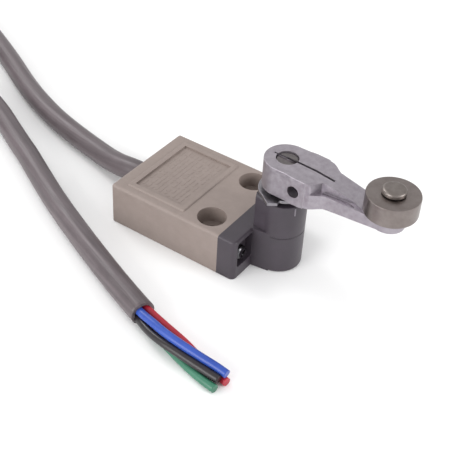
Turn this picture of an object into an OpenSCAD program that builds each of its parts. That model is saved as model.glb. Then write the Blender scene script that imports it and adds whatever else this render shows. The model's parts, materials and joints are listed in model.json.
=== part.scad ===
// Enclosed limit switch with a roller lever and a moulded four-core lead.
// Origin: midway between the two mounting holes, on the mounting face.
// +X runs from the cable end to the lever, +Z out of the labelled face.

/* [Casing] */
// Width across the two mounting holes
body_w = 39.5; // [39:0.5:42]
// Thickness of the casing
body_t = 16; // [16:0.5:18]
// Distance from the mounting holes to the cable end
body_back = 38; // [37:0.5:42]
// Distance from the mounting holes to the head joint
body_front = 7.5; // [7.5:0.1:7.9]
// Distance between the mounting holes
hole_pitch = 25; // [24.5:0.1:25.5]
// Diameter of the mounting holes
hole_d = 5.1; // [5:0.1:5.4]
// Diameter of the counterbores for the mounting screw heads
counterbore_d = 10.2; // [9.6:0.1:10.4]
// Depth of the counterbores
counterbore_h = 6; // [5:0.5:6]

/* [Head] */
// Thickness of the plate that joins the head to the casing
plate_t = 7; // [6.5:0.1:7.5]
// Distance from the mounting holes to the shaft's axis
shaft_x = 19.7; // [19.5:0.1:20.2]
// Outer radius of the bearing barrel
barrel_r = 8.3; // [8.2:0.1:8.8]
// Height of the bearing barrel
barrel_h = 28; // [28:0.1:28.4]
// Height of the barrel's lower cap
cap_h = 14.7; // [14.5:0.1:15]

/* [Lever] */
// Diameter of the shaft
shaft_d = 7.6; // [7.5:0.1:7.7]
// Distance from the shaft's axis to the roller's axis
lever_r = 38; // [34:0.5:42]
// Height of the lever's underside above the mounting face
lever_z = 31.8; // [31.8:0.1:32.5]
// Height of the clamp end of the lever
clamp_h = 10.5; // [10:0.1:11]
// Half width of the lever across its clamp bolt
lug_half_w = 8.1; // [8:0.1:8.4]
// Width of the clamping slit
slit_w = 0.9; // [0.6:0.1:1.2]
// Diameter of the roller
roller_d = 17.5; // [16:0.5:18]
// Height of the roller
roller_h = 7; // [6:0.5:8]

/* [Switching] */
// Travel of the plunger, the button and the contact bridge
travel = 1.5; // [1.3:0.1:1.5]
// Height of the plunger's axis above the mounting face
plunger_z = 8; // [7.9:0.1:8.1]

/* [Cable] */
// Diameter of the cable's jacket
cable_d = 8.4; // [8:0.1:8.4]
// Diameter of one insulated core
core_d = 2.8; // [2.6:0.1:2.8]
// Mean diameter of the stored coil
coil_mean_d = 104; // [100:0.1:104]

/* [Hidden] */
$fn = 48;
eps = 0.01;

// Casing
half_w = body_w / 2;
wall = 2.2;
chamber_back = -body_back + 4;
chamber_front = -8.5;
chamber_half = half_w - 2.4;
chamber_top = body_t - wall;
ledge = 1.2;
cover_t = 1.6;
tunnel_r = 3.2;
seal_r = 5.4;
screw_y = 14;
screw_z = 8;
// Raised frame around the label field
frame_x = [-33.4, -8.9];
frame_half = 16.6;
frame_w = 2.1;
frame_h = 0.45;
label_depth = 0.3;

// Head
plate_x = body_front + plate_t;
chamber_r = 6.3;
chamber_roof = 17;
bearing_r = 5;
seat_x = plate_x - 2.5;
pocket_y = [9.3, 17.8];
pocket_z = [4.4, 14.3];
lower_neck = [[plate_x - 2, barrel_r + 0.9], [plate_x, barrel_r + 0.9], [shaft_x, barrel_r]];
relief_x = shaft_x - 0.8;
relief_half = barrel_r - 0.4;
upper_neck = [[shaft_x - 7.3, 5.2], [shaft_x - 6.2, relief_half - 0.4], [shaft_x, relief_half]];
cap_x = shaft_x + 1.6;
joint_gap = 0.1;
shaft_r = shaft_d / 2;
running = 0.07;

// Lever
boss_r = 7.7;
lever_top = lever_z + clamp_h;
tip_x = shaft_x + lever_r;
roller_z = 39.2;
tip_r = 5.3;
tip_z = 34.3;
bolt_x = shaft_x + 7.5;
bolt_z = lever_z + 5;
bolt_seat = 3.2;
pin_r = 2.5;
pin_head_r = 3.9;

// Switching
tip_gap = 0.3;
plunger_tip = shaft_x - shaft_r - tip_gap;
plunger_r = 2.05;
plunger_end = chamber_front + 0.1;
button_face = plunger_end - tip_gap;
button_end = -20.5;
case_x = [-27.5, -9.8];
case_half = 9.9;
case_z = [2.2, 12.4];
case_wall = 1.2;
bridge_x = -18;
bridge_t = 0.6;
contact_y = 5.8;
contact_r = 1.1;
contact_t = 0.5;
contact_gap = 0.05;
strip_y = 7.9;
strip_t = 0.6;

// Cable
cable_r = cable_d / 2;
core_r = core_d / 2;
coil_x = -232;
coil_y = -2;
coil_z = 0.8;
coil_r = coil_mean_d / 2;
coil_in = coil_r - 1.5 * cable_d;
coil_out = coil_r + 1.5 * cable_d;
coil_h = 3 * cable_d;
tie_w = 6;
tie_t = 1;
// From the seal, down on to the surface and away to the outside of the coil
LEAD = [[-34, 0, 8], [-38, 0, 8], [-44, 0.1, 7.8], [-51, 0.8, 6.6], [-58, 2.6, 5.2],
    [-65, 4.6, 4.4], [-73, 6.4, 4.2], [-82, 8.5, 4.2], [-92, 11.3, 4.2],
    [-102, 14.9, 4.2], [-112, 19.1, 4.2], [-122, 24, 4.2], [-132, 29.4, 4.2],
    [-142, 34.6, 4.2], [-154, 40.4, 4.3], [-168, 46.6, 4.5], [-183, 51.9, 4.8],
    [-198, 55, 5], [-213, 55.4, 5]];
// Off the coil's second layer, round on to the surface and back past the casing
TAIL = [[-195, -49.7, 13.4], [-188, -43.9, 12.4], [-180.5, -36.5, 10], [-173, -27.5, 7.4],
    [-165, -17, 5.4], [-158, -8, 4.4], [-151, 0.6, 4.2], [-143, 6, 4.2],
    [-134, 7.2, 4.2], [-124, 5.2, 4.2], [-113, 0.8, 4.2], [-103, -4.2, 4.2],
    [-93, -9.3, 4.2], [-84, -13.7, 4.2], [-76, -18, 4.2], [-68, -22.3, 4.2],
    [-60, -26.5, 4.2], [-52, -30.4, 4.2], [-44, -34.1, 4.2], [-36, -37.7, 4.2],
    [-28, -41.2, 4.2], [-20, -44.6, 4.2], [-12, -47.9, 4.2], [-4, -51, 4.2],
    [3, -53.6, 4.2]];
BLUE = [[1, -54.2, 5.4], [5, -55.6, 5.9], [10, -56.9, 6.3], [15.2, -58, 6.3],
    [21.9, -58.7, 6.1], [28.8, -58.8, 5.5], [35.4, -58.7, 4.8], [39.3, -58.9, 4.4]];
RED = [[1.4, -51.4, 5], [5, -52, 4.2], [9, -52.4, 3.2], [14.3, -53, 2.2], [20.3, -54, 1.5],
    [27, -56.1, 1.4], [34, -58, 1.4], [39.6, -59.3, 1.4]];
BLACK = [[1, -54.6, 2.9], [4.5, -56.4, 3.2], [9.8, -58.6, 3.7], [16, -60.1, 4.2],
    [21.5, -60.6, 4.2], [27.4, -61, 4], [32.4, -61.1, 3.6], [38.1, -61.2, 3.2]];
GREEN = [[1.6, -52.2, 2.4], [5, -53.4, 1.8], [10, -55.6, 1.4], [15, -57.9, 1.4],
    [20, -59.6, 1.4], [24.8, -61, 1.4], [29.6, -62.2, 1.4], [34, -63.1, 1.4],
    [38.3, -63.6, 1.4]];

// ---- helpers ----------------------------------------------------------

// Rounded rectangle from corner a to corner b
module round_rect(a, b, r) {
    translate([a[0] + r, a[1]])
        square([b[0] - a[0] - 2 * r, b[1] - a[1]]);
    translate([a[0], a[1] + r])
        square([b[0] - a[0], b[1] - a[1] - 2 * r]);
    for (x = [a[0] + r, b[0] - r], y = [a[1] + r, b[1] - r])
        translate([x, y])
            circle(r);
}

// Box between two corners
module block(a, b) {
    translate(a)
        cube(b - a);
}

// Cylinder along X from x0 to x1
module rod_x(x0, x1, y, z, r) {
    translate([x0, y, z])
        rotate([0, 90, 0])
            cylinder(h = x1 - x0, r = r);
}

// Cylinder along Y from y0 to y1
module rod_y(x, y0, y1, z, r) {
    translate([x, y0, z])
        rotate([-90, 0, 0])
            cylinder(h = y1 - y0, r = r);
}

// Tube on the shaft's axis
module sleeve(z0, z1, r_in, r_out) {
    translate([shaft_x, 0, z0])
        difference() {
            cylinder(h = z1 - z0, r = r_out);
            translate([0, 0, -1])
                cylinder(h = z1 - z0 + 2, r = r_in);
        }
}

// Round rod between two points
module rod(a, b, r) {
    v = b - a;
    translate(a)
        rotate([0, acos(v[2] / norm(v)), atan2(v[1], v[0])])
            cylinder(h = norm(v), r = r);
}

function unit(v) = v / norm(v);

// Point on the smooth curve through four points, between the middle two
function curve_at(p, q, r, s, t) = 0.5 * (2 * q + (r - p) * t
    + (2 * p - 5 * q + 4 * r - s) * t * t
    + (3 * q - p - 3 * r + s) * t * t * t);

// Smooth route through the points, with n steps between each two
function smooth_route(pts, n) = let (last = len(pts) - 1) concat(
    [for (i = [0 : last - 1], k = [0 : n - 1])
        curve_at(pts[max(i - 1, 0)], pts[i], pts[i + 1], pts[min(i + 2, last)], k / n)],
    [pts[last]]);

// Tube of radius r swept along the points, closed at both ends
module sweep(pts, r, sides) {
    n = len(pts);
    ways = [for (i = [0 : n - 1]) unit(pts[min(i + 1, n - 1)] - pts[max(i - 1, 0)])];
    verts = [for (i = [0 : n - 1], k = [0 : sides - 1])
        let (across = unit(cross(ways[i], [0, 0, 1])),
            up = cross(across, ways[i]),
            a = 360 * (k + 0.5) / sides)
        pts[i] + r * (cos(a) * across + sin(a) * up)];
    walls = [for (i = [0 : n - 2], k = [0 : sides - 1])
        let (m = (k + 1) % sides)
        [i * sides + k, i * sides + m, (i + 1) * sides + m, (i + 1) * sides + k]];
    start = [for (k = [0 : sides - 1]) sides - 1 - k];
    end = [for (k = [0 : sides - 1]) (n - 1) * sides + k];
    polyhedron(verts, concat(walls, [start, end]));
}

// Coil spring along X, its sections set out from the spring's own axis
module spring_x(x0, x1, y, z, r, wire, turns) {
    steps = turns * 12;
    sides = 6;
    verts = [for (i = [0 : steps], k = [0 : sides - 1])
        let (out = [0, cos(30 * i), sin(30 * i)],
            a = 360 * k / sides,
            x = x0 + (x1 - x0) * i / steps)
        [x, y, z] + r * out + wire / 2 * (cos(a) * out + sin(a) * [1, 0, 0])];
    walls = [for (i = [0 : steps - 1], k = [0 : sides - 1])
        let (m = (k + 1) % sides)
        [i * sides + k, i * sides + m, (i + 1) * sides + m, (i + 1) * sides + k]];
    start = [for (k = [0 : sides - 1]) sides - 1 - k];
    end = [for (k = [0 : sides - 1]) steps * sides + k];
    polyhedron(verts, concat(walls, [start, end]));
}

// ---- casing -----------------------------------------------------------

module casing_outer() {
    soft = 1;
    intersection() {
        linear_extrude(body_t)
            round_rect([-body_back, -half_w], [body_front, half_w], soft);
        translate([-body_back - 1, 0, 0])
            rotate([90, 0, 90])
                linear_extrude(body_back + body_front + 2)
                    round_rect([-half_w, -3], [half_w, body_t], soft);
    }
}

module label_frame() {
    difference() {
        block([frame_x[0], -frame_half, body_t - eps], [frame_x[1], frame_half, body_t + frame_h]);
        block([frame_x[0] + frame_w, -frame_half + frame_w, body_t - 1],
            [frame_x[1] - frame_w, frame_half - frame_w, body_t + 1]);
    }
}

module casing() {
    color([0.63, 0.58, 0.54]) {
        difference() {
            casing_outer();
            block([frame_x[0] + frame_w, -frame_half + frame_w, body_t - label_depth],
                [frame_x[1] - frame_w, frame_half - frame_w, body_t + 1]);
            block([chamber_back, -chamber_half, -1], [chamber_front, chamber_half, chamber_top]);
            block([chamber_back - ledge, -chamber_half - ledge, -1],
                [chamber_front + ledge, chamber_half + ledge, cover_t + 0.2]);
            for (side = [-1, 1]) {
                translate([0, side * hole_pitch / 2, -1])
                    cylinder(h = body_t + 2, d = hole_d);
                translate([0, side * hole_pitch / 2, body_t - counterbore_h])
                    cylinder(h = counterbore_h + 1, d = counterbore_d);
                rod_x(2.9, body_front + 1, side * screw_y, screw_z, 1.5);
            }
            rod_x(chamber_front - 1, body_front + 1, 0, plunger_z, tunnel_r);
            rod_x(-body_back - 1, chamber_back + 1, 0, plunger_z, seal_r);
        }
        label_frame();
    }
}

module base_cover() {
    gap = 0.1;
    color([0.55, 0.52, 0.5])
        block([chamber_back - ledge + gap, -chamber_half - ledge + gap, 0.2],
            [chamber_front + ledge - gap, chamber_half + ledge - gap, 0.2 + cover_t - gap]);
}

module potting() {
    color([0.15, 0.15, 0.16])
        difference() {
            block([chamber_back, -chamber_half + 0.1, 1.9],
                [chamber_back + 2.6, chamber_half - 0.1, chamber_top - 0.1]);
            for (y = [-2, 2], z = [-2, 2])
                rod_x(chamber_back - 1, chamber_back + 4, y, plunger_z + z, core_r);
        }
}

module cable_seal() {
    color([0.12, 0.12, 0.12])
        difference() {
            rod_x(-body_back, chamber_back, 0, plunger_z, seal_r);
            rod_x(-body_back - 1, chamber_back + 1, 0, plunger_z, cable_r);
        }
}

module plunger_bush() {
    color("darkgoldenrod")
        difference() {
            rod_x(chamber_front, body_front, 0, plunger_z, tunnel_r);
            rod_x(chamber_front - 1, body_front + 1, 0, plunger_z, plunger_r + running);
        }
}

// ---- built-in switch ----------------------------------------------------

module switch_case() {
    color([0.1, 0.1, 0.12])
        difference() {
            block([case_x[0], -case_half, case_z[0]], [case_x[1], case_half, case_z[1]]);
            block([case_x[0] + case_wall, -case_half + case_wall, case_z[0] + case_wall],
                [case_x[1] - case_wall, case_half - case_wall, case_z[1] + 1]);
            rod_x(case_x[1] - 2, case_x[1] + 1, 0, plunger_z, 2 + running);
            for (side = [-1, 1], z = [5.5, 10.5])
                translate([case_x[0] + 0.6, side * (strip_y + strip_t / 2), z])
                    cube([3, strip_t + 0.1, 1.9], center = true);
        }
}

module switch_cover() {
    color([0.75, 0.15, 0.12])
        block([case_x[0], -case_half, case_z[1]], [case_x[1], case_half, case_z[1] + 1.1]);
}

// Bent strip from a fixed contact out through the back of the switch
module terminal(side, x, z_plate, z_strip) {
    color("gold")
        scale([1, side, 1]) {
            block([x - contact_t, 4.6, min(z_plate[0], z_strip[0])],
                [x, strip_y + strip_t, max(z_plate[1], z_strip[1])]);
            block([case_x[0] - 1.6, strip_y, z_strip[0]], [x, strip_y + strip_t, z_strip[1]]);
        }
}

nc_x = bridge_x + bridge_t / 2 + contact_t + contact_gap + contact_t;
no_x = bridge_x - bridge_t / 2 - contact_t - travel - contact_gap - contact_t;

module nc_terminal(side) {
    terminal(side, nc_x + contact_t, [6.8, 9.2], [9.6, 11.4]);
}

module no_terminal(side) {
    terminal(side, no_x, [6.8, 9.2], [4.6, 6.4]);
}

// Pair of contact rivets with their near faces at x
module rivets(x) {
    color("silver")
        for (side = [-1, 1])
            rod_x(x, x + contact_t, side * contact_y, plunger_z, contact_r);
}

module switch_button() {
    color([0.85, 0.85, 0.8])
        difference() {
            rod_x(button_end, button_face, 0, plunger_z, 2);
            block([bridge_x - bridge_t / 2, -3, plunger_z - 1.5],
                [bridge_x + bridge_t / 2, 3, plunger_z + 1.5]);
        }
}

module contact_bridge() {
    color("gold")
        block([bridge_x - bridge_t / 2, -7.2, plunger_z - 1.5],
            [bridge_x + bridge_t / 2, 7.2, plunger_z + 1.5]);
}

module bridge_contacts() {
    rivets(bridge_x + bridge_t / 2);
    rivets(bridge_x - bridge_t / 2 - contact_t);
}

module contact_spring() {
    color("silver")
        spring_x(case_x[0] + case_wall + 0.25, button_end - 0.3, 0, plunger_z, 1.5, 0.4, 4);
}

// Insulated core inside the casing, from the potting to one terminal
module inner_lead(y, z, terminal_y, terminal_z, tint) {
    a = [chamber_back, y, plunger_z + z];
    b = [chamber_back + 3, y, plunger_z + z];
    c = [case_x[0] - 1.7, terminal_y, terminal_z];
    color(tint) {
        rod(a, b, core_r);
        translate(b)
            sphere(core_r);
        rod(b, c, core_r - 0.2);
    }
}

// ---- head -----------------------------------------------------------------

module head_gasket() {
    color([0.1, 0.1, 0.1])
        difference() {
            block([body_front, -8.5, 1.2], [body_front + 0.8, 8.5, 14.8]);
            rod_x(body_front - 1, body_front + 2, 0, plunger_z, 3.4);
        }
}

module barrel_outer() {
    translate([shaft_x, 0, 0])
        rotate_extrude($fn = 96)
            polygon([[0, 0], [barrel_r - 0.8, 0], [barrel_r, 0.8], [barrel_r, barrel_h - 0.4],
                [barrel_r - 0.4, barrel_h], [0, barrel_h]]);
}

module head_housing() {
    color([0.31, 0.29, 0.32]) {
        difference() {
            union() {
                linear_extrude(body_t)
                    round_rect([body_front, -half_w], [plate_x, half_w], 0.9);
                barrel_outer();
                // Neck between the barrel and the plate, slimmer above the plate
                linear_extrude(body_t)
                    polygon(concat(lower_neck, mirrored(lower_neck)));
                linear_extrude(barrel_h)
                    polygon(concat(upper_neck, mirrored(upper_neck)));
            }
            difference() {
                block([0, -10, body_t], [relief_x, 10, barrel_h + 1]);
                linear_extrude(barrel_h + 2)
                    polygon(concat(upper_neck, mirrored(upper_neck)));
            }
            // Seat of the lower cap
            difference() {
                block([cap_x, -10, -1], [40, 10, cap_h + joint_gap]);
                block([0, -10, -2], [cap_x, 10, cap_h + 1]);
            }
            translate([shaft_x, 0, -1])
                cylinder(h = chamber_roof + 1, r = chamber_r);
            translate([shaft_x, 0, chamber_roof - 1])
                cylinder(h = barrel_h - chamber_roof, r = bearing_r);
            translate([shaft_x, 0, barrel_h - 2])
                cylinder(h = 3, r = shaft_r + 0.15);
            rod_x(body_front + 0.7, shaft_x - 2, 0, plunger_z, 3.7);
            block([body_front - 1, -8.6, 1.1], [body_front + 0.8, 8.6, 14.9]);
            for (side = [-1, 1]) {
                scale([1, side, 1])
                    block([seat_x, pocket_y[0], pocket_z[0]], [plate_x + 1, pocket_y[1], pocket_z[1]]);
                rod_x(body_front - 1, plate_x, side * screw_y, screw_z, 1.7);
            }
        }
        // Index marks at the top of the barrel
        for (a = [-30, 30])
            translate([shaft_x, 0, 0])
                rotate([0, 0, a])
                    block([barrel_r - 0.3, -0.25, barrel_h - 3.6], [barrel_r + 0.2, 0.25, barrel_h - 0.6]);
    }
}

module head_cap() {
    color([0.29, 0.27, 0.3])
        difference() {
            union() {
                intersection() {
                    barrel_outer();
                    block([cap_x + joint_gap, -10, -1], [40, 10, cap_h]);
                }
                translate([shaft_x, 0, 0])
                    cylinder(h = 3, r = chamber_r - joint_gap);
            }
            translate([shaft_x, 0, 3])
                cylinder(h = 20, r = chamber_r);
            translate([shaft_x, 0, 1.5])
                cylinder(h = 20, r = bearing_r);
        }
}

module head_screws() {
    color([0.2, 0.2, 0.2])
        for (side = [-1, 1]) {
            rod_x(3.4, seat_x, side * screw_y, screw_z, 1.5);
            difference() {
                rod_x(seat_x, seat_x + 2, side * screw_y, screw_z, 2.7);
                translate([seat_x + 2, side * screw_y, screw_z]) {
                    cube([2, 0.8, 3.4], center = true);
                    cube([2, 3.4, 0.8], center = true);
                }
            }
        }
}

module upper_bearing() {
    color("peru")
        sleeve(chamber_roof + 0.1, 23.6, shaft_r + running, bearing_r);
}

module lower_bearing() {
    color("peru")
        sleeve(1.5, 4.4, shaft_r + running, bearing_r);
}

module shaft_seal() {
    color([0.08, 0.08, 0.08])
        sleeve(23.7, 25.9, shaft_r + 0.1, bearing_r);
}

// ---- lever ------------------------------------------------------------------

module shaft() {
    color([0.5, 0.48, 0.47])
        difference() {
            translate([shaft_x, 0, 1.7])
                cylinder(h = lever_top - 0.5 - 1.7, r = shaft_r);
            // Flat that works the plunger
            block([shaft_x - 5, -5, 5], [shaft_x - 2.3, 5, 11]);
            // Groove for the retaining ring
            sleeve(14.6, 15.7, shaft_r - 0.6, shaft_r + 1);
            // Screwdriver slot in the top end
            block([shaft_x - 5, -0.4, lever_top - 1.3], [shaft_x + 5, 0.4, lever_top + 1]);
        }
}

module retaining_ring() {
    color([0.35, 0.35, 0.36])
        difference() {
            sleeve(14.65, 15.65, shaft_r - 0.6, 5.6);
            block([shaft_x, -1.8, 14], [shaft_x + 8, 1.8, 17]);
        }
}

// Stroke indicator plate with a pointer on each side
module marker_plate() {
    marker_t = 1.2;
    pointer = [[-5.3, 6.7], [0, 10.6], [2.8, 8.7], [2.4, 6]];
    color([0.78, 0.78, 0.78])
        translate([shaft_x, 0, 29.1])
            difference() {
                union() {
                    cylinder(h = marker_t, r = 7.4);
                    intersection() {
                        cylinder(h = marker_t, r = 8.7);
                        block([-10, -10, -1], [-2.5, 10, 3]);
                    }
                    linear_extrude(marker_t)
                        polygon(concat(pointer, mirrored(pointer)));
                }
                translate([0, 0, -1])
                    cylinder(h = 4, r = shaft_r);
            }
}

// The points of one flank, taken back along the other
function mirrored(pts) = [for (i = [len(pts) - 1 : -1 : 0]) [pts[i][0], -pts[i][1]]];

// The lever's outline seen from above, before its top and underside are cut
module lever_blank() {
    flank = [[6, lug_half_w], [13, lug_half_w], [14.8, lug_half_w - 0.9], [16.4, 5.8],
        [17.5, 4.7], [lever_r, tip_r - 0.9]];
    translate([shaft_x, 0, lever_z - 1]) {
        cylinder(h = clamp_h + 2, r = boss_r, $fn = 96);
        block([0, -boss_r + eps, 0], [8, boss_r - eps, clamp_h + 2]);
        linear_extrude(clamp_h + 2)
            polygon(concat(flank, mirrored(flank)));
        translate([lever_r, 0, 0])
            cylinder(h = clamp_h + 2, r = tip_r);
    }
}

// Side view of the lever: the arm falls away on top and rises below
module lever_side() {
    slope_x = shaft_x + 5;
    under_x = shaft_x + 10;
    polygon([[shaft_x - 9, lever_z], [under_x, lever_z], [under_x + 9, lever_z + 1.2],
        [tip_x + tip_r + 1, tip_z], [tip_x + tip_r + 1, roller_z - 0.5],
        [tip_x - 10, roller_z - 0.5], [shaft_x + 18, lever_top - 1.2],
        [slope_x, lever_top], [shaft_x - 9, lever_top]]);
}

module lever() {
    color([0.65, 0.63, 0.65])
        difference() {
            intersection() {
                lever_blank();
                translate([0, 12, 0])
                    rotate([90, 0, 0])
                        linear_extrude(24)
                            lever_side();
            }
            translate([shaft_x, 0, lever_z - 1])
                cylinder(h = clamp_h + 2, r = shaft_r);
            block([shaft_x, -slit_w / 2, lever_z - 1], [shaft_x + 18, slit_w / 2, lever_top + 1]);
            rod_y(bolt_x, -10, 1, bolt_z, 2.1);
            rod_y(bolt_x, 0, 10, bolt_z, 2.6);
            rod_y(bolt_x, bolt_seat, 10, bolt_z, 4.4);
            // Lightening pockets in both flanks of the arm
            for (side = [-1, 1])
                translate([shaft_x, side * 9, lever_z])
                    rotate([90, 0, 0])
                        linear_extrude(11.6, center = true)
                            polygon([[15.5, 4.4], [17.5, 8], [28, 5.6]]);
            translate([tip_x, 0, tip_z - 2])
                cylinder(h = 10, r = pin_r);
        }
}

module clamp_bolt() {
    color([0.3, 0.3, 0.32])
        difference() {
            union() {
                rod_y(bolt_x, -6.3, bolt_seat, bolt_z, 2.1);
                rod_y(bolt_x, bolt_seat, bolt_seat + 4.8, bolt_z, 4.25);
            }
            translate([bolt_x, bolt_seat + 2.2, bolt_z])
                rotate([-90, 0, 0])
                    cylinder(h = 5, r = 2.3, $fn = 6);
        }
}

module roller_pin() {
    color([0.5, 0.47, 0.46])
        translate([tip_x, 0, 0]) {
            translate([0, 0, tip_z - 0.2])
                cylinder(h = roller_z + roller_h + 0.3 - tip_z + 0.2, r = pin_r);
            translate([0, 0, roller_z + roller_h + 0.3])
                rotate_extrude()
                    polygon([[0, 0], [pin_head_r - 0.3, 0], [pin_head_r, 0.3],
                        [pin_head_r, 1.2], [pin_head_r - 0.6, 1.8], [0, 1.8]]);
        }
}

module roller_washer() {
    color("silver")
        translate([tip_x, 0, roller_z - 0.5])
            difference() {
                cylinder(h = 0.45, r = 4.4);
                translate([0, 0, -1])
                    cylinder(h = 3, r = pin_r);
            }
}

module roller() {
    chamfer = 0.4;
    color([0.5, 0.46, 0.43])
        translate([tip_x, 0, roller_z])
            difference() {
                rotate_extrude($fn = 96)
                    polygon([[0, 0], [roller_d / 2 - chamfer, 0], [roller_d / 2, chamfer],
                        [roller_d / 2, roller_h - chamfer],
                        [roller_d / 2 - chamfer, roller_h], [0, roller_h]]);
                translate([0, 0, -1])
                    cylinder(h = roller_h + 2, r = pin_r + running);
            }
}

// ---- plunger ------------------------------------------------------------------

module plunger() {
    color([0.85, 0.85, 0.86]) {
        rod_x(plunger_end, plunger_tip - 1, 0, plunger_z, plunger_r);
        rod_x(plunger_tip - 1.6, plunger_tip, 0, plunger_z, 3.4);
    }
}

module plunger_spring() {
    color("silver")
        spring_x(body_front + 1.1, plunger_tip - 1.9, 0, plunger_z, 2.85, 0.5, 4);
}

// ---- cable ----------------------------------------------------------------------

module cable_lead() {
    color([0.5, 0.48, 0.48])
        sweep(smooth_route(LEAD, 2), cable_r, 10);
}

module cable_tail() {
    color([0.5, 0.48, 0.48])
        sweep(smooth_route(TAIL, 2), cable_r, 10);
}

module cable_coil() {
    step = coil_out - cable_d;
    color([0.5, 0.48, 0.48])
        translate([coil_x, coil_y, coil_z])
            rotate_extrude($fn = 96)
                polygon([[coil_in, 0], [coil_out, 0], [coil_out, 2 * cable_d],
                    [step, 2 * cable_d], [step, coil_h], [coil_in, coil_h]]);
}

module coil_tie() {
    x0 = coil_x - coil_out;
    x1 = coil_x - coil_in;
    color([0.15, 0.15, 0.15])
        translate([0, coil_y, 0])
            difference() {
                block([x0 - tie_t, -tie_w / 2, 0], [x1 + tie_t, tie_w / 2, coil_z + coil_h + tie_t]);
                block([x0, -tie_w, coil_z], [x1, tie_w, coil_z + coil_h]);
            }
}

module core(route, tint) {
    color(tint)
        sweep(smooth_route(route, 2), core_r - 0.05, 8);
}

casing();
base_cover();
potting();
cable_seal();
plunger_bush();
switch_case();
switch_cover();
nc_terminal(-1);  // nc_terminal_near
nc_terminal(1);  // nc_terminal_far
no_terminal(-1);  // no_terminal_near
no_terminal(1);  // no_terminal_far
rivets(nc_x - contact_t);  // nc_contacts
rivets(no_x);  // no_contacts
inner_lead(-2, 2, -7.6, 10.5, "royalblue");  // inner_lead_blue
inner_lead(2, 2, 7.6, 10.5, "crimson");  // inner_lead_red
inner_lead(-2, -2, -7.6, 5.5, "dimgray");  // inner_lead_black
inner_lead(2, -2, 7.6, 5.5, "seagreen");  // inner_lead_green
head_gasket();
head_housing();
head_cap();
head_screws();
upper_bearing();
lower_bearing();
shaft_seal();
shaft();
retaining_ring();
marker_plate();
lever();
clamp_bolt();
roller_pin();
roller_washer();
roller();
plunger();
plunger_spring();
switch_button();
contact_bridge();
bridge_contacts();
contact_spring();
cable_lead();
cable_coil();
cable_tail();
coil_tie();
core(BLUE, "royalblue");  // core_blue
core(RED, "crimson");  // core_red
core(BLACK, "dimgray");  // core_black
core(GREEN, "seagreen");  // core_green
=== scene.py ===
# %% [markdown]
# # A limit switch with a roller lever
# A machine's moving part pushes the roller, the lever turns a shaft, and the shaft works a small
# switch inside the casing. This file dresses the CAD model of that switch for a picture. The CAD
# model gives every place and size, so each visible piece is built round the CAD piece that it
# stands for, and rides on the same body. Lengths are worked out in millimetres, as a maker
# measures such a part, and each finished piece is scaled once to Blender's metres.

# %% Load the CAD model
import json
import math
import random

import bmesh
import bpy
from mathutils import Matrix, Vector


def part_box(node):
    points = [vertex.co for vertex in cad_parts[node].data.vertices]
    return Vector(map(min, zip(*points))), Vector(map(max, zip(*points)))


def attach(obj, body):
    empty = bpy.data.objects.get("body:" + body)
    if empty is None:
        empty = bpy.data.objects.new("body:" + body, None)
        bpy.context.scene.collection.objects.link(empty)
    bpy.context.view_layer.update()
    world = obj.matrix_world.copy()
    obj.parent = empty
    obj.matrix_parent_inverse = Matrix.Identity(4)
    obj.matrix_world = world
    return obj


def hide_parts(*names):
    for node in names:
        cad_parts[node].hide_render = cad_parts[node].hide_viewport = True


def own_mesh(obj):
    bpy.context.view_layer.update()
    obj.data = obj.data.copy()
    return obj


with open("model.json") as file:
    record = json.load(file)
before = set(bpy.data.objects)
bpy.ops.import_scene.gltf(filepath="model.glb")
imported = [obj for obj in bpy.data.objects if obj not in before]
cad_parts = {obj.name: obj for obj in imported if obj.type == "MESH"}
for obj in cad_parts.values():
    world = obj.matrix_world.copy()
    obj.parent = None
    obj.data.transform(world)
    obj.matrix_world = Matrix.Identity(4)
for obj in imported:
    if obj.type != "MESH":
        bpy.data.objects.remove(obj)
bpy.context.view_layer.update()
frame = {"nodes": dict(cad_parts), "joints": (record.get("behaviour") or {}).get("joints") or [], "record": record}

MM = 0.001
scene = bpy.context.scene

# %% Places that the other cells measure from
joint_at = {joint["name"]: Vector(joint["pos_m"]) / MM
            for joint in frame["joints"] if "pos_m" in joint}
shaft_x = joint_at["lever_turn"].x
roller_x = joint_at["roller_spin"].x


def corners(node):
    """Lowest and highest corner of a CAD node, in millimetres."""
    low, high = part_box(node)
    return low / MM, high / MM


case_low, case_high = corners("casing")
barrel_top = corners("head_housing")[1].z
lever_low, lever_high = corners("lever")
print("shaft at x", round(shaft_x, 2), "roller at x", round(roller_x, 2))

# %% [markdown]
# ## The camera
# The camera is set before anything is built, so that every render shows the same view. It looks
# down at the switch from the roller side. A long lens keeps the casing's edges nearly parallel,
# as a product picture does. The camera's own axes are worked out from two angles and a small
# roll, and put straight into its matrix.

# %% Camera
VIEW_TURN = math.radians(31.935)
VIEW_HEIGHT = math.radians(40.092)
VIEW_ROLL = math.radians(4.035)
VIEW_FROM = Vector((0.15003, -0.2364, 0.23452))

back = Vector((math.sin(VIEW_TURN) * math.cos(VIEW_HEIGHT),
               -math.cos(VIEW_TURN) * math.cos(VIEW_HEIGHT), math.sin(VIEW_HEIGHT)))
level = Vector((0, 0, 1)).cross(back).normalized()
upright = back.cross(level)
right = level * math.cos(VIEW_ROLL) + upright * math.sin(VIEW_ROLL)
up = upright * math.cos(VIEW_ROLL) - level * math.sin(VIEW_ROLL)
camera = bpy.data.objects.new("camera", bpy.data.cameras.new("camera"))
camera.data.lens = 78.03
camera.data.sensor_width = 36
camera.data.clip_start = 0.01
turned = Matrix((right, up, back)).transposed().to_4x4()
camera.matrix_world = Matrix.Translation(VIEW_FROM) @ turned
scene.collection.objects.link(camera)
scene.camera = camera
scene.view_settings.view_transform = "Standard"
print("camera at", [round(c, 3) for c in VIEW_FROM], "lens", camera.data.lens)

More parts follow.
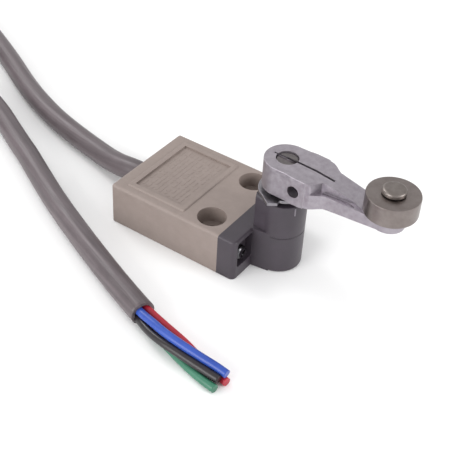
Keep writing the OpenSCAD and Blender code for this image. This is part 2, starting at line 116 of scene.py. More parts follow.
# %% [markdown]
# ## The cable
# The lead is one length of jacketed cable: it leaves the casing, is stored in a tied coil, and
# comes back to its cut end. A cable can't stretch, so it is best made as one smooth line with a
# round section. The free stretches follow listed points, and the coil's turns come from a
# loop: each turn lies beside or on the last one, and slides over to the next place in the stack
# as it goes round.

# %% Routes of the free stretches, in metres
LEAD = [(-.034, 0, .008), (-.038, 0, .008), (-.044, .0001, .0078), (-.051, .0008, .0066),
        (-.058, .0026, .0052), (-.065, .0046, .0044), (-.073, .0064, .0042), (-.082, .0085, .0042),
        (-.092, .0113, .0042), (-.102, .0149, .0042), (-.112, .0191, .0042), (-.122, .024, .0042),
        (-.132, .0294, .0042), (-.142, .0346, .0042), (-.154, .0404, .0043), (-.168, .0466, .0045),
        (-.183, .0519, .0048), (-.198, .055, .005), (-.213, .0554, .005)]
TAIL = [(-.195, -.0497, .0134), (-.188, -.0439, .0124), (-.1805, -.0365, .010),
        (-.173, -.0275, .0074), (-.165, -.017, .0054), (-.158, -.008, .0044), (-.151, .0006, .0042),
        (-.143, .006, .0042), (-.134, .0072, .0042), (-.124, .0052, .0042), (-.113, .0008, .0042),
        (-.103, -.0042, .0042), (-.093, -.0093, .0042), (-.084, -.0137, .0042), (-.076, -.018, .0042),
        (-.068, -.0223, .0042), (-.060, -.0265, .0042), (-.052, -.0304, .0042), (-.044, -.0341, .0042),
        (-.036, -.0377, .0042), (-.028, -.0412, .0042), (-.020, -.0446, .0042), (-.012, -.0479, .0042),
        (-.004, -.051, .0042), (.003, -.0536, .0042)]
CORES = {
    "blue": [(.001, -.0542, .0054), (.005, -.0556, .0059), (.01, -.0569, .0063), (.0152, -.058, .0063),
             (.0219, -.0587, .0061), (.0288, -.0588, .0055), (.0354, -.0587, .0048),
             (.0393, -.0589, .0044)],
    "red": [(.0014, -.0514, .005), (.005, -.052, .0042), (.009, -.0524, .0032), (.0143, -.053, .0022),
             (.0203, -.054, .0015), (.027, -.0561, .0014), (.034, -.058, .0014),
             (.0396, -.0593, .0014)],
    "black": [(.001, -.0546, .0029), (.0045, -.0564, .0032), (.0098, -.0586, .0037),
             (.016, -.0601, .0042), (.0215, -.0606, .0042), (.0274, -.061, .004),
             (.0324, -.0611, .0036), (.0381, -.0612, .0032)],
    "green": [(.0016, -.0522, .0024), (.005, -.0534, .0018), (.01, -.0556, .0014),
             (.015, -.0579, .0014), (.02, -.0596, .0014), (.0248, -.061, .0014),
             (.0296, -.0622, .0014), (.034, -.0631, .0014), (.0383, -.0636, .0014)]}
CABLE_D = 0.0084
CORE_D = 0.0028
print("points by hand: lead", len(LEAD), "tail", len(TAIL))

# %% The coil's turns
# A place in the coil's stack: its column counted from the inside, and its layer from below
COIL_PLACES = [(2, 0), (1, 0), (0, 0), (0, 1), (1, 1), (0, 2), (1, 2), (2, 1)]
STEPS_A_TURN = 48
SHIFT_SHARE = 0.3


def smooth_line(points, steps):
    """A smooth line through the points, with so many steps between each two."""
    pts = [Vector(p) for p in points]
    last = len(pts) - 1
    line = []
    for i in range(last):
        a, b, c, d = pts[max(i - 1, 0)], pts[i], pts[i + 1], pts[min(i + 2, last)]
        for k in range(steps):
            t = k / steps
            line.append(0.5 * (2 * b + (c - a) * t + (2 * a - 5 * b + 4 * c - d) * t * t
                               + (3 * b - a - 3 * c + d) * t ** 3))
    return line + [pts[last]]


def coil_line():
    """The coil's turns, from where the lead joins it to where the tail leaves it."""
    low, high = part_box("cable_coil")
    middle = (low + high) / 2
    mean_r = (high.x - low.x) / 2 - 1.5 * CABLE_D
    start, end = Vector(LEAD[-1]) - middle, Vector(TAIL[0]) - middle
    angle = math.atan2(start.y, start.x)
    stop = math.atan2(end.y, end.x) + len(COIL_PLACES) * math.tau
    step = math.tau / STEPS_A_TURN
    line = []
    for i in range(1, int((stop - angle) / step)):
        turn, part = divmod(i / STEPS_A_TURN, 1)
        place = COIL_PLACES[int(turn)]
        coming = COIL_PLACES[min(int(turn) + 1, len(COIL_PLACES) - 1)]
        move = max(0, (part - 1 + SHIFT_SHARE) / SHIFT_SHARE)
        move = move * move * (3 - 2 * move)
        column = place[0] + (coming[0] - place[0]) * move
        layer = place[1] + (coming[1] - place[1]) * move
        a = angle + i * step
        r = mean_r + (column - 1) * CABLE_D
        line.append(Vector((middle.x + r * math.cos(a), middle.y + r * math.sin(a),
                            low.z + (layer + 0.5) * CABLE_D)))
    return line


def length_of(line):
    return sum((b - a).length for a, b in zip(line, line[1:]))


cable_line = smooth_line(LEAD, 4) + coil_line() + smooth_line(TAIL, 4)
print("cable", round(length_of(cable_line), 3), "m on", len(cable_line), "points")

# %% Tubes along the routes


def tube(name, line, diameter, sides):
    """A round tube along a line, closed at both ends. Its UV runs along and round it."""
    data = bpy.data.curves.new(name, "CURVE")
    data.dimensions = "3D"
    data.bevel_depth = diameter / 2
    data.bevel_resolution = sides // 2 - 2
    spline = data.splines.new("POLY")
    spline.points.add(len(line) - 1)
    for point, at in zip(spline.points, line):
        point.co = (*at, 1)
    curve = bpy.data.objects.new(name, data)
    scene.collection.objects.link(curve)
    bpy.context.view_layer.update()
    drawn = curve.evaluated_get(bpy.context.evaluated_depsgraph_get())
    mesh = bpy.data.meshes.new_from_object(drawn)
    bpy.data.objects.remove(curve)
    bm = bmesh.new()
    bm.from_mesh(mesh)
    bmesh.ops.remove_doubles(bm, verts=bm.verts, dist=1e-6)
    bmesh.ops.holes_fill(bm, edges=[edge for edge in bm.edges if edge.is_boundary], sides=0)
    for face in bm.faces:
        face.smooth = len(face.verts) == 4
    bmesh.ops.recalc_face_normals(bm, faces=bm.faces)
    bm.to_mesh(mesh)
    bm.free()
    piece = bpy.data.objects.new(name, mesh)
    scene.collection.objects.link(piece)
    return piece


def hollow_end(piece, line, wall, depth):
    """Opens a tube's far end, as a jacket's cut end stands open round its cores."""
    bm = bmesh.new()
    bm.from_mesh(piece.data)
    caps = [face for face in bm.faces if len(face.verts) > 4]
    cap = min(caps, key=lambda face: (face.calc_center_median() - line[-1]).length)
    bmesh.ops.inset_region(bm, faces=[cap], thickness=wall)
    inward = (line[-2] - line[-1]).normalized()
    sunk = bmesh.ops.extrude_discrete_faces(bm, faces=[cap])["faces"][0]
    bmesh.ops.translate(bm, vec=inward * depth, verts=sunk.verts)
    bm.to_mesh(piece.data)
    bm.free()


cable = tube("cable_jacket", cable_line, CABLE_D, 28)
hollow_end(cable, cable_line, 0.0011, 0.002)
core_lines = {colour: smooth_line(points, 6) for colour, points in CORES.items()}
cores = {colour: tube("core_" + colour + "_wire", line, CORE_D, 18)
         for colour, line in core_lines.items()}
print("jacket faces", len(cable.data.polygons), "cores", len(cores))

# %% Cables ride on the housing, in place of their CAD nodes
NODE_OF = {"blue": "core_blue", "red": "core_red", "black": "core_black", "green": "core_green"}
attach(cable, "housing")
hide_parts("cable_lead", "cable_coil", "cable_tail")
for colour, wire in cores.items():
    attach(wire, "housing")
    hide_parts(NODE_OF[colour])
print("cores declared:", len(cores))

# %% [markdown]
# ## Finishes
# No real surface is one even colour. Cast and painted metal is a little mottled, and moulded
# plastic has a fine grain. Only the size and depth of that effect change, so it is built once, as
# a node group with named inputs, and placed in each material. The shader stays in the material,
# with its even values set on its own sockets.

# %% A helper for node groups


def node_group(name, inputs, outputs):
    """An empty shader group with named sockets, what it is given and what it has made."""
    group = bpy.data.node_groups.new(name, "ShaderNodeTree")
    for label, kind, value in inputs:
        socket = group.interface.new_socket(label, in_out="INPUT", socket_type="NodeSocket" + kind)
        socket.default_value = value
    for label, kind in outputs:
        group.interface.new_socket(label, in_out="OUTPUT", socket_type="NodeSocket" + kind)
    given = group.nodes.new("NodeGroupInput").outputs
    made = group.nodes.new("NodeGroupOutput").inputs
    return group, given, made


def add_node(tree, kind, links=(), **settings):
    """A node with its settings, and its inputs linked or set as (input, source or value) pairs."""
    node = tree.nodes.new("ShaderNode" + kind)
    for key, value in settings.items():
        setattr(node, key, value)
    for socket, source in links:
        if isinstance(source, bpy.types.NodeSocket):
            tree.links.new(source, node.inputs[socket])
        else:
            node.inputs[socket].default_value = source
    return node


def add_math(tree, operation, *values, **settings):
    """What a Math node makes of its sources or values, in order."""
    return add_node(tree, "Math", enumerate(values), operation=operation, **settings).outputs[0]


def add_relief(tree, height, given):
    """A surface normal that follows a height, to the group's own depth."""
    return add_node(tree, "Bump", [("Height", height), ("Distance", given["Depth"]),
                                   ("Normal", given["Normal"]), ("Strength", 1.0)]).outputs[0]


# %% Grain: mottled colour, uneven gloss and a fine texture
grain, given, made = node_group(
    "surface_grain",
    [("Vector", "Vector", (0, 0, 0)), ("Normal", "Vector", (0, 0, 1)),
     ("Light", "Color", (0.5, 0.5, 0.5, 1)), ("Dark", "Color", (0.4, 0.4, 0.4, 1)),
     ("Patch", "Float", 0.004), ("Grain", "Float", 0.0003), ("Depth", "Float", 0.00002),
     ("Roughness", "Float", 0.5), ("Spread", "Float", 0.1)],
    [("Color", "Color"), ("Roughness", "Float"), ("Normal", "Vector")])
patches = add_node(grain, "TexNoise", [
    ("Vector", given["Vector"]), ("Scale", add_math(grain, "DIVIDE", 1.0, given["Patch"])),
    ("Detail", 5.0), ("Roughness", 0.6)])
specks = add_node(grain, "TexNoise", [
    ("Vector", given["Vector"]), ("Scale", add_math(grain, "DIVIDE", 1.0, given["Grain"])),
    ("Detail", 3.0), ("Roughness", 0.65)]).outputs["Fac"]
spread_out = add_node(grain, "MapRange", [("Value", patches.outputs["Fac"]), ("From Min", 0.33),
                                          ("From Max", 0.67)])
blended = add_math(grain, "MULTIPLY_ADD", specks, 0.35, spread_out.outputs[0])
mask = add_node(grain, "MapRange", [("Value", blended), ("From Min", 0.05),
                                    ("From Max", 1.3)]).outputs[0]
tint = add_node(grain, "Mix", [(0, mask), (6, given["Dark"]), (7, given["Light"])],
                data_type="RGBA")
centred = add_math(grain, "SUBTRACT", mask, 0.5)
gloss = add_math(grain, "MULTIPLY_ADD", centred, given["Spread"], given["Roughness"],
                 use_clamp=True)
grain.links.new(tint.outputs[2], made["Color"])
grain.links.new(gloss, made["Roughness"])
grain.links.new(add_relief(grain, specks, given), made["Normal"])
print("group", grain.name, "nodes", len(grain.nodes))

# %% [markdown]
# A turned part carries fine rings that the lathe's tool left. They depend only on the distance
# from its axis and the place along it. The sum of the two gives rings on ends and sides alike.

# %% Lathe rings
lathe, given, made = node_group(
    "lathe_rings",
    [("Vector", "Vector", (0, 0, 0)), ("Normal", "Vector", (0, 0, 1)),
     ("Pitch", "Float", 0.0003), ("Depth", "Float", 0.00002)],
    [("Normal", "Vector")])
axes = add_node(lathe, "SeparateXYZ", [("Vector", given["Vector"])]).outputs
flat = add_node(lathe, "CombineXYZ", [("X", axes["X"]), ("Y", axes["Y"])])
radius = add_node(lathe, "VectorMath", [(0, flat.outputs[0])], operation="LENGTH")
along = add_math(lathe, "ADD", radius.outputs["Value"], axes["Z"])
turns = add_math(lathe, "DIVIDE", along, given["Pitch"])
rings = add_node(lathe, "TexNoise", [("W", turns), ("Scale", 1.0), ("Detail", 4.0),
                                     ("Roughness", 0.7)], noise_dimensions="1D")
lathe.links.new(add_relief(lathe, rings.outputs["Fac"], given), made["Normal"])
print("group", lathe.name, "nodes", len(lathe.nodes))

# %% [markdown]
# A jacket and a core's insulation are pushed out of a round die, which draws long faint streaks
# along them. The tube's UV runs along it and round it, so a noise that is stretched along the
# first and squeezed round the second gives those streaks, wherever the cable bends.

# %% Die streaks
die, given, made = node_group(
    "die_streaks",
    [("UV", "Vector", (0, 0, 0)), ("Normal", "Vector", (0, 0, 1)), ("Length", "Float", 1.0),
     ("Count", "Float", 9.0), ("Twist", "Float", 0.0), ("Depth", "Float", 0.0001)],
    [("Normal", "Vector"), ("Mask", "Float")])
axes = add_node(die, "SeparateXYZ", [("Vector", given["UV"])]).outputs
metres = add_math(die, "MULTIPLY", axes["X"], given["Length"])
lay = add_math(die, "MULTIPLY_ADD", metres, given["Twist"], axes["Y"])
angle_round = add_math(die, "MULTIPLY", lay, math.tau)
across = add_math(die, "COSINE", angle_round)
upward = add_math(die, "SINE", angle_round)
ring_place = add_node(die, "CombineXYZ", [("X", across), ("Y", upward)])
ring_size = add_math(die, "DIVIDE", given["Count"], math.tau)
ring_scaled = add_node(die, "VectorMath", [(0, ring_place.outputs[0]), ("Scale", ring_size)],
                       operation="SCALE")
lengthwise = add_node(die, "CombineXYZ", [("Z", add_math(die, "MULTIPLY", metres, 9.0))])
place = add_node(die, "VectorMath", [(0, ring_scaled.outputs[0]), (1, lengthwise.outputs[0])],
                 operation="ADD")
streaks = add_node(die, "TexNoise", [("Vector", place.outputs[0]), ("Scale", 1.0),
                                     ("Detail", 3.0), ("Roughness", 0.55)]).outputs["Fac"]
die.links.new(add_relief(die, streaks, given), made["Normal"])
die.links.new(streaks, made["Mask"])
print("group", die.name, "nodes", len(die.nodes))

# %% [markdown]
# ## One material for each finish
# Each finish is named for what the maker would order: baked paint, satin casting, turned steel
# and so on. One is not: the index marks' lighter grey is a painted highlight. A finish gives two
# shades that the grain moves between, how large its patches and specks are, and how rough it is.

# %% Shades, from the numbers of a colour chart to Blender's linear values


def shade(red, green, blue):
    """A linear colour from chart numbers of 0 to 255."""
    linear = []
    for value in (red, green, blue):
        value = value / 255
        linear.append(value / 12.92 if value <= 0.04045 else ((value + 0.055) / 1.055) ** 2.4)
    return (*linear, 1.0)


# %% Material maker
materials = {}


def make_finish(name, light, dark, roughness, metallic=0.0, patch=3.0, speck=0.2, depth=0.004,
                spread=0.12, turned=None, streaked=None):
    """A Principled material with grain. Its patches, specks and depth are in millimetres. turned is
    (axis point in mm, axis letter, pitch, depth) for lathe rings, and streaked is (length in m,
    count, twist, depth, share) for die streaks."""
    material = bpy.data.materials.new(name)
    material.use_nodes = True
    tree = material.node_tree
    shader = tree.nodes["Principled BSDF"]
    shader.inputs["Metallic"].default_value = metallic
    spot = add_node(tree, "TexCoord")
    surface = add_node(tree, "NewGeometry")
    normal = surface.outputs["Normal"]
    skin = add_node(tree, "Group", node_tree=grain)
    if turned:
        centre, axis, pitch, ring_depth = turned
        seat = add_node(tree, "Mapping", [("Vector", spot.outputs["Object"])], vector_type="TEXTURE")
        seat.inputs["Location"].default_value = [c * MM for c in centre]
        seat.inputs["Rotation"].default_value = {"Z": (0, 0, 0), "X": (0, math.pi / 2, 0),
                                                 "Y": (math.pi / 2, 0, 0)}[axis]
        marks = add_node(tree, "Group", node_tree=lathe)
        tree.links.new(seat.outputs[0], marks.inputs["Vector"])
        tree.links.new(normal, marks.inputs["Normal"])
        marks.inputs["Pitch"].default_value = pitch * MM
        marks.inputs["Depth"].default_value = ring_depth * MM
        normal = marks.outputs["Normal"]
    if streaked:
        length, count, twist, streak_depth, share = streaked
        drawn = add_node(tree, "Group", node_tree=die)
        tree.links.new(spot.outputs["UV"], drawn.inputs["UV"])
        tree.links.new(normal, drawn.inputs["Normal"])
        for label, value in (("Length", length), ("Count", count), ("Twist", twist),
                             ("Depth", streak_depth * MM)):
            drawn.inputs[label].default_value = value
        normal = drawn.outputs["Normal"]
    for label, value in (("Light", light), ("Dark", dark), ("Patch", patch * MM), ("Grain", speck * MM),
                         ("Depth", depth * MM), ("Roughness", roughness), ("Spread", spread)):
        skin.inputs[label].default_value = value
    tree.links.new(spot.outputs["Object"], skin.inputs["Vector"])
    tree.links.new(normal, skin.inputs["Normal"])
    colour = skin.outputs["Color"]
    if streaked:
        sharpened = add_node(tree, "MapRange", [("Value", drawn.outputs["Mask"]), ("From Min", 0.35),
                                                ("From Max", 0.65), ("To Min", 1 - share),
                                                ("To Max", 1 + share)])
        toned = add_node(tree, "VectorMath", [(0, colour), ("Scale", sharpened.outputs[0])],
                         operation="SCALE")
        colour = toned.outputs[0]
    tree.links.new(colour, shader.inputs["Base Color"])
    tree.links.new(skin.outputs["Roughness"], shader.inputs["Roughness"])
    tree.links.new(skin.outputs["Normal"], shader.inputs["Normal"])
    materials[name] = material
    return material


# %% Finishes of the casing, the head and the lever


def make_finishes(table):
    """Plain finishes by name: light, dark, roughness, metallic, patch, speck and depth."""
    for name, (light, dark, *settings) in table.items():
        make_finish(name, shade(*light), shade(*dark), *settings)


LATHED_ON_ROLLER = ((roller_x, 0, 0), "Z")
make_finishes({
    "casing_paint": ((144, 131, 125), (136, 123, 117), 0.52, 0.0, 3.0, 0.25, 0.008),
    "cover_metal": ((150, 142, 134), (140, 132, 126), 0.5, 0.0, 5.0, 0.3, 0.006),
    "head_plastic": ((64, 57, 65), (57, 51, 58), 0.42, 0.0, 5.0, 0.22, 0.008),
    # The index marks' lighter grey is a painted highlight, the light that their raised edges catch.
    "mark_painted_highlight": ((126, 120, 128), (116, 110, 118), 0.4, 0.0, 2.0, 0.2, 0.004),
    "stainless_plate": ((150, 147, 151), (134, 131, 136), 0.38, 1.0, 2.5, 0.2, 0.003),
    "screw_black": ((104, 103, 106), (78, 77, 80), 0.16, 1.0, 1.5, 0.15, 0.003)})
make_finish("lever_alloy", shade(172, 166, 173), shade(150, 143, 151), 0.4, 0.85, patch=1.6,
            speck=0.35, depth=0.018, spread=0.2)
make_finish("sintered_steel", shade(140, 132, 129), shade(124, 115, 112), 0.34, 1.0, depth=0.003,
            turned=(*LATHED_ON_ROLLER, 0.35, 0.008))
make_finish("shaft_steel", shade(126, 121, 121), shade(106, 101, 101), 0.36, 1.0, patch=2.0,
            turned=((shaft_x, 0, 0), "Z", 0.3, 0.006))
make_finish("pin_steel", shade(138, 131, 127), shade(120, 112, 108), 0.42, 1.0, patch=2.0,
            turned=(*LATHED_ON_ROLLER, 0.3, 0.006))
print("materials", len(materials))

# %% Finishes of the cable
JACKET_M = length_of(cable_line)
make_finish("cable_jacket", shade(96, 87, 90), shade(87, 78, 81), 0.42, patch=6.0, speck=0.3,
            depth=0.006, streaked=(JACKET_M, 14.0, 0.6, 0.3, 0.2))
for colour, light, dark in (("blue", shade(46, 80, 170), shade(38, 68, 152)),
                            ("red", shade(176, 34, 54), shade(158, 27, 45)),
                            ("black", shade(38, 33, 37), shade(30, 26, 29)),
                            ("green", shade(56, 118, 94), shade(48, 104, 82))):
    make_finish("core_" + colour, light, dark, 0.32, patch=5.0, speck=0.25, depth=0.002,
                streaked=(length_of(core_lines[colour]), 8.0, 0.0, 0.04, 0.07))
print("materials", len(materials))

# %% Finishes of the tie and of the pieces inside the casing
make_finishes({
    "tie_nylon": ((40, 39, 41), (32, 31, 33), 0.45, 0.0, 3.0, 0.25, 0.006),
    "epoxy": ((40, 40, 44), (28, 28, 32), 0.3, 0.0, 3.0, 0.4, 0.01),
    "seal_rubber": ((36, 35, 36), (27, 26, 27), 0.62, 0.0, 2.0, 0.2, 0.01),
    "bronze": ((196, 158, 104), (166, 128, 80), 0.4, 1.0, 1.2, 0.12, 0.008),
    "switch_black": ((44, 43, 46), (34, 33, 36), 0.4, 0.0, 3.0, 0.2, 0.005),
    "switch_red": ((176, 52, 42), (158, 42, 34), 0.4, 0.0, 3.0, 0.2, 0.005),
    "brass": ((222, 190, 120), (196, 162, 96), 0.32, 1.0, 1.5, 0.15, 0.004),
    "silver_contact": ((226, 226, 222), (206, 205, 200), 0.28, 1.0, 0.8, 0.12, 0.003),
    "spring_steel": ((170, 170, 172), (146, 146, 150), 0.3, 1.0, 0.8, 0.15, 0.004),
    "button_plastic": ((222, 220, 208), (208, 205, 192), 0.42, 0.0, 3.0, 0.2, 0.004)})
make_finish("plunger_steel", shade(206, 206, 207), shade(186, 186, 188), 0.28, 1.0, patch=2.0,
            depth=0.002, turned=((0, 0, 8), "X", 0.3, 0.005))
print("materials", len(materials))

# %% The CAD pieces that stay take the finish that the record names
slot_of = {part["node"]: part["material_slot"] for part in frame["record"]["subparts"]}


def paint(piece, finish_name):
    piece.data.materials.clear()
    piece.data.materials.append(materials[finish_name])


for node, piece in frame["nodes"].items():
    paint(piece, slot_of[node])
paint(cable, "cable_jacket")
for colour, wire in cores.items():
    paint(wire, "core_" + colour)
print("CAD nodes painted:", len(slot_of))

# %% [markdown]
# ## Tools for building pieces
# Each piece starts from a block, a rod, a turned profile or a drawn outline. Pieces are joined to
# and cut from each other with the Boolean modifier, as a maker mills and drills a blank, and then
# a Bevel modifier takes the sharpness off every edge. Real parts always have soft edges, and the
# thin line of light along them is what makes them look solid.

# %% Blocks, rods, turned shapes and outlines
NEAR = 0.01
TURN_TO = {"X": Matrix.Rotation(math.pi / 2, 3, "Y"), "Y": Matrix.Rotation(-math.pi / 2, 3, "X"),
           "Z": Matrix.Identity(3)}


def add_block(bm, low, high):
    low, high = Vector(low), Vector(high)
    verts = bmesh.ops.create_cube(bm, size=1)["verts"]
    bmesh.ops.scale(bm, vec=high - low, verts=verts)
    bmesh.ops.translate(bm, vec=(low + high) / 2, verts=verts)
    return verts


def add_rod(bm, foot, radius, length, axis="Z", sides=72):
    verts = bmesh.ops.create_cone(bm, cap_ends=True, segments=sides, radius1=radius, radius2=radius,
                                  depth=length)["verts"]
    bmesh.ops.translate(bm, vec=(0, 0, length / 2), verts=verts)
    bmesh.ops.rotate(bm, cent=(0, 0, 0), matrix=TURN_TO[axis], verts=verts)
    bmesh.ops.translate(bm, vec=foot, verts=verts)
    return verts


def place_rank(point):
    """A number that orders points by height, then across, so that each run lists them alike."""
    return round(point.z, 3) * 1e6 + round(point.x, 3) * 1e3 + round(point.y, 3)


def add_turned(bm, profile, foot, axis="Z", closed=False, steps=96):
    """Spins a profile of (radius, height) points about the axis. A closed profile leaves a bore."""
    verts = [bm.verts.new((r, 0, h)) for r, h in profile]
    pairs = list(zip(verts, verts[1:])) + ([(verts[-1], verts[0])] if closed else [])
    edges = [bm.edges.new(pair) for pair in pairs]
    bmesh.ops.spin(bm, geom=verts + edges, cent=(0, 0, 0), axis=(0, 0, 1), angle=math.tau, steps=steps,
                   use_merge=True)
    bmesh.ops.remove_doubles(bm, verts=bm.verts, dist=1e-4)
    bmesh.ops.recalc_face_normals(bm, faces=bm.faces)
    bm.verts.sort(key=lambda v: place_rank(v.co))
    bm.edges.sort(key=lambda e: place_rank((e.verts[0].co + e.verts[1].co) / 2))
    bm.faces.sort(key=lambda f: place_rank(f.calc_center_median()))
    bmesh.ops.rotate(bm, cent=(0, 0, 0), matrix=TURN_TO[axis], verts=bm.verts)
    bmesh.ops.translate(bm, vec=foot, verts=bm.verts)


def lies_on(edge, axis, level, how=all):
    """Whether an edge's points are at a level on an axis, from 0 for X to 2 for Z."""
    return how(abs(v.co[axis] - level) < NEAR for v in edge.verts)


def round_edges(bm, edges, width, segments):
    """Rounds chosen edges of a shape that is still being built."""
    bmesh.ops.bevel(bm, geom=edges, offset=width, offset_type="OFFSET", affect="EDGES",
                    segments=segments, profile=0.5, material=-1, clamp_overlap=True)


def add_outline(bm, points, start, reach):
    """Fills a flat outline of points and draws it out along reach."""
    verts = [bm.verts.new(Vector(start) + Vector(p)) for p in points]
    face = bm.faces.new(verts)
    drawn = bmesh.ops.extrude_face_region(bm, geom=[face])["geom"]
    moved = [v for v in drawn if isinstance(v, bmesh.types.BMVert)]
    bmesh.ops.translate(bm, vec=reach, verts=moved)
    shell = set(verts + moved)
    bmesh.ops.recalc_face_normals(bm, faces=[f for f in bm.faces if set(f.verts) <= shell])


def arc(centre, radius, first, last, steps):
    """Points round part of a circle, by angles in degrees."""
    angles = [math.radians(first + (last - first) * i / steps) for i in range(steps + 1)]
    return [(centre[0] + radius * math.cos(a), centre[1] + radius * math.sin(a)) for a in angles]


def mirrored_back(points):
    """The points, then the same points on the other side, taken back."""
    return points + [(x, -y) for x, y in reversed(points)]


# %% Cutting, joining and softening


def blank(name, bm):
    """An object of what bm holds, in millimetres."""
    mesh = bpy.data.meshes.new(name)
    bm.to_mesh(mesh)
    bm.free()
    piece = bpy.data.objects.new(name, mesh)
    scene.collection.objects.link(piece)
    return piece


def keep_result(piece):
    """Makes what the modifiers show the piece's own mesh."""
    bpy.context.view_layer.update()
    shown = piece.evaluated_get(bpy.context.evaluated_depsgraph_get())
    mesh = bpy.data.meshes.new_from_object(shown)
    piece.modifiers.clear()
    piece.data = mesh


def combine(piece, bm, how="DIFFERENCE"):
    """Cuts bm's shapes from the piece, or joins or crosses them with it."""
    tool = blank("tool", bm)
    work = piece.modifiers.new(how.lower(), "BOOLEAN")
    work.operation = how
    work.object = tool
    work.solver = "EXACT"
    work.use_self = True
    keep_result(piece)
    bpy.data.objects.remove(tool)


def soften(piece, width, segments=3, sharper_than=35):
    """Rounds every edge that is sharper than an angle."""
    round_off = piece.modifiers.new("soft_edges", "BEVEL")
    round_off.width = width
    round_off.segments = segments
    round_off.limit_method = "ANGLE"
    round_off.angle_limit = math.radians(sharper_than)
    round_off.miter_outer = "MITER_ARC"
    keep_result(piece)


def finish_piece(piece, body, slot, *nodes, finish=None):
    """Scales a piece to metres, shades it, paints it and sets it on its body."""
    piece.data.transform(Matrix.Scale(MM, 4))
    piece.data.shade_smooth()
    piece.data.set_sharp_from_angle(angle=math.radians(42))
    level_faces = piece.modifiers.new("flat_faces", "WEIGHTED_NORMAL")
    level_faces.keep_sharp = True
    level_faces.weight = 100
    keep_result(piece)
    paint(piece, finish or slot)
    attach(piece, body)
    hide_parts(*nodes)
    print(piece.name, "faces", len(piece.data.polygons), "on", body)


# %% [markdown]
# ## The casing
# The casing is a flat die casting with baked paint. Its outer edges are well rounded, its two
# mounting holes are counterbored for screw heads, and a raised bead frames the label's field.
# It is blocked out, rounded, then drilled, so that the holes keep crisper rims than the outside.
# The label carries no lettering here: rows of plain raised dashes stand in its field.

# %% Casing blank with its bead
BEAD_WIDTH = 2.1
BEAD_HEIGHT = 0.45
BEAD_SINK = 0.3
BEAD_HALF = 16.6
case_top = case_high.z - BEAD_HEIGHT
case_half = case_high.y
bead_low = Vector((case_low.x + 4.6, -BEAD_HALF, case_top - BEAD_SINK))
bead_high = Vector((case_low.x + 29.1, BEAD_HALF, case_high.z))

bm = bmesh.new()
add_block(bm, case_low, (case_high.x, case_half, case_top))
outer = [edge for edge in bm.edges
         if not lies_on(edge, 0, case_high.x) and not lies_on(edge, 2, case_low.z)]
round_edges(bm, outer, 1.0, 5)
casing = blank("casing_shell", bm)

bm = bmesh.new()
add_block(bm, bead_low, bead_high)
bead_edges = [edge for edge in bm.edges if lies_on(edge, 2, bead_high.z, any)]
round_edges(bm, bead_edges, 0.62, 5)
combine(casing, bm, "UNION")
print("bead", [round(c, 1) for c in bead_low], "to", [round(c, 1) for c in bead_high])

# %% Casing cuts: label field, holes, chamber and openings
bolts = next(m for m in frame["record"]["mounts"] if m["name"] == "mounting_holes")["dims"]
hole_y = bolts["spacing_y_mm"] / 2
cover_low, cover_high = corners("base_cover")
bush_low, bush_high = corners("plunger_bush")
plunger_z = (bush_low.z + bush_high.z) / 2
COUNTERBORE_R = 5.1
COUNTERBORE_FLOOR = case_top - 6
CHAMBER = ((-34, -17.35, -1), (-8.5, 17.35, 13.8))
COVER_GAP = 0.1
HEAD_SCREW_Y = 14
SCREW_THREAD_R = 1.5
PLUNGER_BORE_R = 3.2
CABLE_BORE_R = 5.4

bm = bmesh.new()
add_block(bm, (bead_low.x + BEAD_WIDTH, bead_low.y + BEAD_WIDTH, case_top - BEAD_SINK),
          (bead_high.x - BEAD_WIDTH, bead_high.y - BEAD_WIDTH, case_top + 2))
add_block(bm, *CHAMBER)
add_block(bm, (cover_low.x - COVER_GAP, cover_low.y - COVER_GAP, -1.5),
          (cover_high.x + COVER_GAP, cover_high.y + COVER_GAP, cover_high.z + 2 * COVER_GAP))
for side in (-1, 1):
    add_rod(bm, (0, side * hole_y, -1), bolts["hole_r_mm"], case_top)
    add_rod(bm, (0, side * hole_y, COUNTERBORE_FLOOR), COUNTERBORE_R, 8)
    add_rod(bm, (2.9, side * HEAD_SCREW_Y, plunger_z), SCREW_THREAD_R, 6, "X")
add_rod(bm, (-9.5, 0, plunger_z), PLUNGER_BORE_R, 20, "X")
add_rod(bm, (case_low.x - 1, 0, plunger_z), CABLE_BORE_R, 6, "X")
combine(casing, bm)
soften(casing, 0.24, 3)
print("casing drilled, faces", len(casing.data.polygons))

# %% Plain raised dashes in the label's field
DASH_HEIGHT = 0.07
ROW_GAP = 1.05
PLAIN_ROW = 0.62
TALL_ROW = 1.25
dice = random.Random(5)
bm = bmesh.new()
field_low = bead_low + Vector((BEAD_WIDTH + 1.2, BEAD_WIDTH + 1.3, 0))
field_high = bead_high - Vector((BEAD_WIDTH + 1.2, BEAD_WIDTH + 1.3, 0))
row_x, row = field_low.x, 0
while row_x < field_high.x - 0.6:
    tall = TALL_ROW if row in (1, 5) else PLAIN_ROW
    y = field_low.y + dice.uniform(0, 1.5)
    while y < field_high.y - 1.2:
        run = min(dice.uniform(0.9, 3.4), field_high.y - y)
        add_block(bm, (row_x, y, bead_low.z - 0.1), (row_x + tall, y + run, bead_low.z + DASH_HEIGHT))
        y += run + dice.choice((0.5, 0.7, 1.6))
    row_x += tall + ROW_GAP
    row += 1
combine(casing, bm, "UNION")
finish_piece(casing, "housing", "casing_paint", "casing")

# %% [markdown]
# ## The head
# The dark head is moulded in one with its bearing barrel. Its plate is screwed to the casing
# through two pockets, and the barrel's lower front half is a separate cap, which leaves the thin
# joint line round it. Above the plate the back of the barrel is a little slimmer.

# %% Head housing
cap_top = corners("head_cap")[1].z
NECK_SIDE = 10
BARREL_R = 8.3
SEAM_Z = cap_top + 0.05
SEAT_X = 12.0
CAP_X = shaft_x + 1.65
plate_x = case_high.x + 7
POCKET_Y = (9.3, 17.8)
POCKET_Z = (4.4, 14.6)

